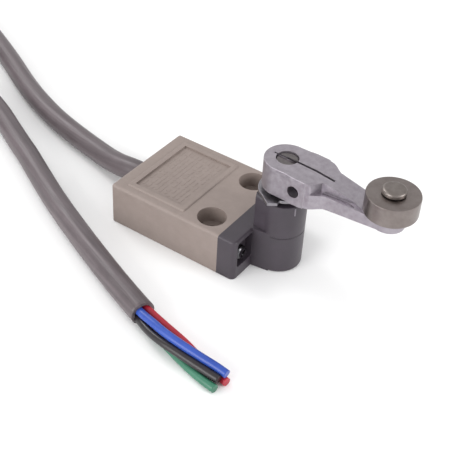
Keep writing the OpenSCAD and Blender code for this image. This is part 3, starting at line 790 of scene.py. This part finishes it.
bm = bmesh.new()
add_block(bm, (case_high.x, -case_half, 0), (plate_x, case_half, case_top))
front = [edge for edge in bm.edges
         if lies_on(edge, 0, plate_x, any) and not lies_on(edge, 2, 0)]
round_edges(bm, [edge for edge in front if abs(edge.verts[0].co.y - edge.verts[1].co.y) < NEAR
                 and abs(edge.verts[0].co.x - edge.verts[1].co.x) < NEAR], 1.7, 6)
top_rim = [edge for edge in bm.edges
           if lies_on(edge, 2, case_top) and not lies_on(edge, 0, case_high.x)]
round_edges(bm, top_rim, 0.9, 4)
head = blank("head_shell", bm)

barrel_foot = [(0, 0), (BARREL_R - 0.9, 0), (BARREL_R - 0.25, 0.3), (BARREL_R, 0.95)]
bm = bmesh.new()
add_turned(bm, barrel_foot + [
    (BARREL_R, SEAM_Z - 0.3), (BARREL_R - 0.3, SEAM_Z), (BARREL_R, SEAM_Z + 0.3),
    (BARREL_R, barrel_top - 0.5), (BARREL_R - 0.15, barrel_top - 0.15),
    (BARREL_R - 0.5, barrel_top), (0, barrel_top)], (shaft_x, 0, 0))
combine(head, bm, "UNION")
print("head plate to x", round(plate_x, 2), "seam at z", round(SEAM_Z, 2))

# %% Neck between the barrel and the plate, slimmer above the plate
NECK_HALF = BARREL_R + 0.9
corner = Vector((plate_x - shaft_x, NECK_HALF))
tangent = math.atan2(corner.y, corner.x) - math.acos(BARREL_R / corner.length)
touch_x, touch_y = shaft_x + BARREL_R * math.cos(tangent), BARREL_R * math.sin(tangent)
lower_neck = [(plate_x - 2, NECK_HALF), (plate_x, NECK_HALF), (touch_x, touch_y)]
upper_neck = [(shaft_x - 7.3, 5.2), (shaft_x - 6.2, BARREL_R - 0.8), (shaft_x, BARREL_R - 0.4)]
bm = bmesh.new()
add_outline(bm, [(x, y, 0) for x, y in mirrored_back(lower_neck)], (0, 0, 0), (0, 0, case_top))
combine(head, bm, "UNION")
bm = bmesh.new()
add_block(bm, (case_high.x + 0.2, -NECK_SIDE, case_top), (shaft_x - 0.8, NECK_SIDE, barrel_top + 1))
combine(head, bm)
bm = bmesh.new()
add_outline(bm, [(x, y, 0) for x, y in mirrored_back(upper_neck)], (0, 0, case_top - 1),
            (0, 0, barrel_top - case_top + 1))
combine(head, bm, "UNION")
print("neck meets the barrel at", round(touch_x, 2), round(touch_y, 2))

# %% Head cuts
LOWER_BORE_R = 6.3
BEARING_BORE_R = 5
SHAFT_BORE_R = 3.95
bm = bmesh.new()
add_rod(bm, (shaft_x, 0, -1), LOWER_BORE_R, 18)
add_rod(bm, (shaft_x, 0, 16), BEARING_BORE_R, 10)
add_rod(bm, (shaft_x, 0, barrel_top - 2.5), SHAFT_BORE_R, 4)
add_rod(bm, (case_high.x + 0.7, 0, plunger_z), 3.7, shaft_x - 2 - case_high.x, "X")
add_block(bm, (case_high.x - 1, -8.6, 1.1), (case_high.x + 0.8, 8.6, 14.9))
combine(head, bm)
for side in (-1, 1):
    bm = bmesh.new()
    ys = sorted((side * POCKET_Y[0], side * POCKET_Y[1]))
    add_block(bm, (SEAT_X, ys[0], POCKET_Z[0]), (plate_x + 2, ys[1], POCKET_Z[1]))
    lengthwise = [edge for edge in bm.edges if abs(edge.verts[0].co.x - edge.verts[1].co.x) > 1]
    round_edges(bm, lengthwise, 1.1, 4)
    add_rod(bm, (case_high.x - 1, side * HEAD_SCREW_Y, plunger_z), 1.7, 8, "X")
    combine(head, bm)
soften(head, 0.22, 3)
bm = bmesh.new()
add_block(bm, (CAP_X, -NECK_SIDE, -1), (40, NECK_SIDE, SEAM_Z))
combine(head, bm)
print("head drilled, faces", len(head.data.polygons))

# %% Index marks at the barrel's rim
bm = bmesh.new()
for degrees in (-30, 30):
    verts = add_block(bm, (BARREL_R - 0.4, -0.25, barrel_top - 3.6),
                      (BARREL_R + 0.2, 0.25, barrel_top - 0.6))
    about = Matrix.Rotation(math.radians(degrees), 3, "Z")
    bmesh.ops.rotate(bm, cent=(0, 0, 0), matrix=about, verts=verts)
    bmesh.ops.translate(bm, vec=(shaft_x, 0, 0), verts=verts)
marks = blank("index_marks", bm)
soften(marks, 0.1, 2)
finish_piece(head, "housing", "head_plastic", "head_housing")
# The marks' lighter finish is a painted highlight along them.
finish_piece(marks, "housing", "head_plastic", "head_housing", finish="mark_painted_highlight")

# %% Barrel cap
bm = bmesh.new()
add_turned(bm, barrel_foot + [(BARREL_R, cap_top - 0.25), (BARREL_R - 0.25, cap_top), (0, cap_top)],
           (shaft_x, 0, 0))
cap = blank("barrel_cap", bm)
bm = bmesh.new()
add_block(bm, (shaft_x - 12, -12, -1), (CAP_X, 12, 20))
combine(cap, bm)
bm = bmesh.new()
add_rod(bm, (shaft_x, 0, 0.02), 6.2, 2.98)
combine(cap, bm, "UNION")
bm = bmesh.new()
add_rod(bm, (shaft_x, 0, 3), LOWER_BORE_R, 20)
add_rod(bm, (shaft_x, 0, 1.5), BEARING_BORE_R, 20)
combine(cap, bm)
finish_piece(cap, "housing", "head_plastic", "head_cap")

# %% [markdown]
# The two head screws are black pan heads with a cross recess. The head is a turned dome, and the
# cross is cut by two thin wedges that cross on its axis.

# %% Head screws
SCREW_START = 3.4
bm = bmesh.new()
add_turned(bm, [(0, 0), (SCREW_THREAD_R, 0), (SCREW_THREAD_R, SEAT_X - SCREW_START),
                (2.75, SEAT_X - SCREW_START), (2.75, SEAT_X - 2.4), (2.45, SEAT_X - 1.85),
                (1.75, SEAT_X - 1.5), (0.8, SEAT_X - 1.38), (0, SEAT_X - 1.36)],
           (0, 0, 0), "X", steps=48)
screw = blank("head_screw", bm)
bm = bmesh.new()
for turn in (25, 115):
    verts = add_block(bm, (SEAT_X - 2.9, -1.7, -0.36), (SEAT_X, 1.7, 0.36))
    bmesh.ops.scale(bm, vec=(1, 0.55, 0.6), verts=[v for v in verts if v.co.x < SEAT_X - 1])
    bmesh.ops.rotate(bm, cent=(0, 0, 0), matrix=Matrix.Rotation(math.radians(turn), 3, "X"), verts=verts)
combine(screw, bm)
soften(screw, 0.07, 2)
bm = bmesh.new()
for side in (-1, 1):
    before = set(bm.verts)
    bm.from_mesh(screw.data)
    bmesh.ops.translate(bm, vec=(SCREW_START, side * HEAD_SCREW_Y, plunger_z),
                        verts=[v for v in bm.verts if v not in before])
bpy.data.objects.remove(screw)
screws = blank("pan_head_screws", bm)
finish_piece(screws, "housing", "screw_black", "head_screws")

# %% [markdown]
# ## The shaft, its marker and the lever
# The lever is a satin alloy casting that clamps on the shaft. Seen from above it is a round boss
# that narrows to an arm; seen from the side its top falls away and its underside rises. The
# quickest true way to that form is to draw both outlines, draw each one out, and keep only what
# the two have in common. The boss is slit, and a screw pinches it on to the shaft.

# %% Shaft
shaft_low, shaft_high = corners("shaft")
SHAFT_R = 3.8
RING_GROOVE = (14.6, 15.7)
bm = bmesh.new()
add_turned(bm, [(0, shaft_low.z), (SHAFT_R - 0.3, shaft_low.z), (SHAFT_R, shaft_low.z + 0.3),
                (SHAFT_R, shaft_high.z - 0.8), (SHAFT_R - 0.16, shaft_high.z - 0.5),
                (SHAFT_R - 0.16, shaft_high.z - 0.2), (SHAFT_R - 0.4, shaft_high.z),
                (0, shaft_high.z)], (shaft_x, 0, 0))
shaft = blank("lever_shaft", bm)
bm = bmesh.new()
add_block(bm, (shaft_x - 6, -6, 5), (shaft_x - 2.3, 6, 11))
add_block(bm, (shaft_x - 6, -0.42, shaft_high.z - 0.9), (shaft_x + 6, 0.42, shaft_high.z + 1))
combine(shaft, bm)
bm = bmesh.new()
add_turned(bm, [(SHAFT_R - 0.6, RING_GROOVE[0]), (SHAFT_R + 1, RING_GROOVE[0]),
                (SHAFT_R + 1, RING_GROOVE[1]), (SHAFT_R - 0.6, RING_GROOVE[1])],
           (shaft_x, 0, 0), closed=True)
combine(shaft, bm)
soften(shaft, 0.08, 2)
finish_piece(shaft, "lever_group", "shaft_steel", "shaft")

# %% Lever outlines
BOSS_R = 7.7
LUG_HALF = 8.1
TIP_R = 5.3
FLANGE_HALF = 5.0
lever_z, lever_top = lever_low.z, lever_high.z
ARM_TOP = 38.7
ARM_UNDER = 34.3
CLAMP = Vector((shaft_x + 7.5, 0, lever_z + 5))

rear = arc((0, 0), BOSS_R, 180, 96, 20)
lug = [(4, BOSS_R), (5.6, LUG_HALF - 0.15), (6.6, LUG_HALF), (11.4, LUG_HALF), (11.7, LUG_HALF - 0.35),
       (13.2, LUG_HALF - 0.5), (14.6, LUG_HALF - 1.2), (15.9, 5.9), (17.2, FLANGE_HALF + 0.1),
       (19, FLANGE_HALF)]
tip = arc((roller_x - shaft_x, 0), TIP_R, 110, 0, 16)
plan = mirrored_back(rear[1:] + lug + tip[:-1])
top_fall = [(-9, lever_top), (5, lever_top), (11, lever_top - 0.25), (18, lever_top - 1.15),
            (28, ARM_TOP), (46, ARM_TOP)]
under = [(46, ARM_UNDER), (38, ARM_UNDER), (30, 33.75), (19, 33), (14.5, 32.5), (10, lever_z),
         (-9, lever_z)]
print("lever outline points", len(plan), "from above,", len(top_fall + under), "from the side")

# %% Lever blank
bm = bmesh.new()
add_outline(bm, [(x, y, 0) for x, y in plan], (shaft_x, 0, lever_z - 2), (0, 0, lever_top - lever_z + 4))
lever = blank("roller_lever", bm)
bm = bmesh.new()
add_outline(bm, [(x, 0, z) for x, z in top_fall + under], (shaft_x, -14, 0), (0, 28, 0))
combine(lever, bm, "INTERSECT")
soften(lever, 1.1, 5, 50)
print("lever blank faces", len(lever.data.polygons))

# %% Lever cuts: side hollow, bore, slit and screw hole
hollow = [(12.9, -8.4), (13.6, -6.8), (15.3, -3.6), (26.8, -2.8), (31.5, -4.6), (33.5, -8.4)]
well = [(15.9, -4.6), (16.2, -3.7), (25.5, -3.1), (27.5, -3.9), (27.5, -4.5)]
for outline, depth in ((hollow, 38.0), (well, 37.5)):
    bm = bmesh.new()
    add_outline(bm, [(x, y, 0) for x, y in outline], (shaft_x, 0, depth), (0, 0, 8))
    combine(lever, bm)
soften(lever, 0.25, 3, 60)
SLIT_HALF = 0.45
NICK_HALF = 0.28
THREADED_HOLE_R = 2.12
CLEAR_HOLE_R = 2.6
HEAD_HOLE_R = 4.4
PIN_HOLE_R = 2.52
bm = bmesh.new()
add_rod(bm, (shaft_x, 0, lever_z - 1), SHAFT_R + 0.02, 13, sides=96)
add_block(bm, (shaft_x, -SLIT_HALF, lever_z - 1), (shaft_x + 17.8, SLIT_HALF, lever_top + 1))
add_block(bm, (shaft_x - SHAFT_R - 1.2, -NICK_HALF, lever_top - 1), (shaft_x, NICK_HALF, lever_top + 1))
add_rod(bm, (CLAMP.x, -12, CLAMP.z), THREADED_HOLE_R, 13, "Y")
add_rod(bm, (CLAMP.x, 0, CLAMP.z), CLEAR_HOLE_R, 12, "Y")
add_rod(bm, (CLAMP.x, 3.2, CLAMP.z), HEAD_HOLE_R, 10, "Y")
add_rod(bm, (roller_x, 0, 30), PIN_HOLE_R, 12)
combine(lever, bm)
soften(lever, 0.16, 2, 62)
finish_piece(lever, "lever_group", "lever_alloy", "lever")

# %% Clamping screw: a threaded stem and a socket head
bolt_end = corners("clamp_bolt")[1].y
CREST_R = 2.08
ROOT_R = 1.74
THREAD_PITCH = 0.5
STEM = 7.3
SCREW_LENGTH = 12.1
thread = [(0, 0), (1.5, 0), (1.72, 0.3)]
height = 0.3
while height < 6.4:
    thread += [(CREST_R, height + 0.22), (ROOT_R, height + 0.44)]
    height += THREAD_PITCH
thread += [(CREST_R, 7.0), (CREST_R, STEM), (4.25, STEM), (4.25, 11.7), (3.9, SCREW_LENGTH),
           (0, SCREW_LENGTH)]
bm = bmesh.new()
add_turned(bm, thread, (CLAMP.x, bolt_end - SCREW_LENGTH, CLAMP.z), "Y", steps=48)
bolt = blank("clamp_screw", bm)
bm = bmesh.new()
add_rod(bm, (CLAMP.x, bolt_end - 2.6, CLAMP.z), 2.3, 4, "Y", sides=6)
combine(bolt, bm)
soften(bolt, 0.1, 2, 50)
finish_piece(bolt, "lever_group", "screw_black", "clamp_bolt")

# %% [markdown]
# ## The roller on its pin
# The roller and its pin are turned steel, so their profiles are spun. The roller's rims are
# chamfered and rounded, and the pin's head is a low dome that keeps the roller on.

# %% Roller, pin and washer
roller_low, roller_high = corners("roller")
roller_r = roller_high.x - roller_x
bm = bmesh.new()
add_turned(bm, [(2.57, 0.25), (2.8, 0), (roller_r - 0.45, 0), (roller_r - 0.12, 0.12),
                (roller_r, 0.45), (roller_r, 6.55), (roller_r - 0.12, 6.88), (roller_r - 0.45, 7),
                (2.8, 7), (2.57, 6.75)],
           (roller_x, 0, roller_low.z), closed=True, steps=128)
roller = blank("steel_roller", bm)
finish_piece(roller, "roller", "sintered_steel", "roller")

pin_low, pin_high = corners("roller_pin")
HEAD_R = 3.9
dome = [(HEAD_R - 0.15, pin_high.z - 1.8), (HEAD_R, pin_high.z - 1.65),
        (HEAD_R, pin_high.z - 0.75), (HEAD_R - 0.12, pin_high.z - 0.4),
        (HEAD_R - 0.4, pin_high.z - 0.16), (HEAD_R - 0.8, pin_high.z - 0.05),
        (HEAD_R - 1.3, pin_high.z), (0, pin_high.z)]
stem = [(0, pin_low.z), (2.2, pin_low.z), (2.5, pin_low.z + 0.3), (2.5, pin_high.z - 1.8)]
bm = bmesh.new()
add_turned(bm, stem + dome, (roller_x, 0, 0))
pin = blank("riveted_pin", bm)
finish_piece(pin, "lever_group", "shaft_steel", "roller_pin", finish="pin_steel")

washer_low, washer_high = corners("roller_washer")
bm = bmesh.new()
add_turned(bm, [(2.5, washer_low.z), (4.3, washer_low.z), (4.4, washer_low.z + 0.1),
                (4.4, washer_high.z - 0.1), (4.3, washer_high.z), (2.5, washer_high.z)],
           (roller_x, 0, 0), closed=True)
washer = blank("thin_washer", bm)
finish_piece(washer, "lever_group", "stainless_plate", "roller_washer")

# %% [markdown]
# ## Smaller pieces
# The pieces that need no new form are copied from their CAD nodes. A CAD node is a loose set of
# triangles, so the copy's points are merged and its flat faces joined before its edges are
# rounded. The two springs are real wire helices, each a smooth line round its axis.

# %% Softened copies of CAD nodes
SOFT_COPIES = {
    "marker_plate": ("lever_group", 0.14), "retaining_ring": ("lever_group", 0.12),
    "base_cover": ("housing", 0.3),
    "cable_seal": ("housing", 0.2), "plunger_bush": ("housing", 0.15), "switch_case": ("housing", 0.2),
    "switch_cover": ("housing", 0.25), "head_gasket": ("housing", 0.15), "upper_bearing": ("housing", 0.15),
    "lower_bearing": ("housing", 0.15), "shaft_seal": ("housing", 0.2), "plunger": ("plunger", 0.15),
    "contact_bridge": ("switch_button", 0.1), "coil_tie": ("housing", 0.6)}


def soft_copy(node, body, width):
    bm = bmesh.new()
    bm.from_mesh(frame["nodes"][node].data)
    bmesh.ops.scale(bm, vec=(1 / MM,) * 3, verts=bm.verts)
    bmesh.ops.remove_doubles(bm, verts=bm.verts, dist=0.001)
    bmesh.ops.dissolve_limit(bm, angle_limit=math.radians(1), verts=bm.verts, edges=bm.edges)
    piece = blank(node + "_soft", bm)
    piece.data.materials.clear()
    soften(piece, width, 3, 40)
    finish_piece(piece, body, slot_of[node], node)
    return piece


soft = {node: soft_copy(node, body, width) for node, (body, width) in SOFT_COPIES.items()}

# %% The cable's coil tie
print("cable declared with", soft["coil_tie"].name)

# %% Springs: mean radius, wire, turns and the joint that presses them
SPRINGS = {"plunger_spring": (2.85, 0.5, 4, "plunger_slide"),
           "contact_spring": (1.5, 0.4, 4, "button_slide")}
FLAT_END = 0.12
for node, (radius, wire, coils, joint) in SPRINGS.items():
    low, high = corners(node)
    first, last = low.x + wire / 2, high.x - wire / 2
    steps = coils * 24
    line = []
    for i in range(steps + 1):
        angle = math.tau * i * coils / steps
        rise = max(0, min(1, (i / steps - FLAT_END) / (1 - 2 * FLAT_END)))
        line.append(Vector((first + (last - first) * rise, radius * math.cos(angle),
                            plunger_z + radius * math.sin(angle))) * MM)
    spring = tube(node + "_wire", line, wire * MM, 12)
    paint(spring, "spring_steel")
    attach(spring, "housing")
    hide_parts(node)
    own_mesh(spring)

# %% [markdown]
# ## Floor and light
# The switch stands on a plain white floor. A soft light high on the cable's side gives the
# casing's top its even tone and leaves the counterbores' walls dark. A wider one low in front
# keeps the near faces as light as the top, a third picks out the lever and the barrel from their
# own side, and the white world fills the rest.

# %% Floor
floor = bpy.data.objects.new("floor", bpy.data.meshes.new("floor"))
bm = bmesh.new()
bmesh.ops.create_grid(bm, size=3)
bmesh.ops.translate(bm, vec=(0, 0, -0.0001), verts=bm.verts)
bm.to_mesh(floor.data)
bm.free()
scene.collection.objects.link(floor)
make_finish("floor_paper", (0.96, 0.96, 0.96, 1), (0.94, 0.94, 0.94, 1), 0.9, patch=60.0,
            speck=2.0, depth=0.0)
paint(floor, "floor_paper")
print("floor", [round(side, 1) for side in floor.dimensions])

# %% Lights
world = bpy.data.worlds.new("studio")
scene.world = world
world.use_nodes = True
sky = world.node_tree.nodes["Background"].inputs
sky["Color"].default_value = (1, 1, 1, 1)
sky["Strength"].default_value = 0.84


def soft_light(name, place, aim, size, power):
    data = bpy.data.lights.new(name, "AREA")
    data.shape = "SQUARE"
    data.size = size
    data.energy = power
    lamp = bpy.data.objects.new(name, data)
    lamp.location = place
    lamp.rotation_euler = (Vector(aim) - Vector(place)).to_track_quat("-Z", "Y").to_euler()
    scene.collection.objects.link(lamp)


soft_light("key", (-0.8, 0.12, 0.75), (0, 0, 0.01), 0.4, 3.0)
soft_light("fill", (-0.25, -0.85, 0.32), (0, 0, 0.02), 0.6, 5.2)
soft_light("side", (0.75, 0.15, 0.3), (0, 0, 0.02), 0.3, 2.5)
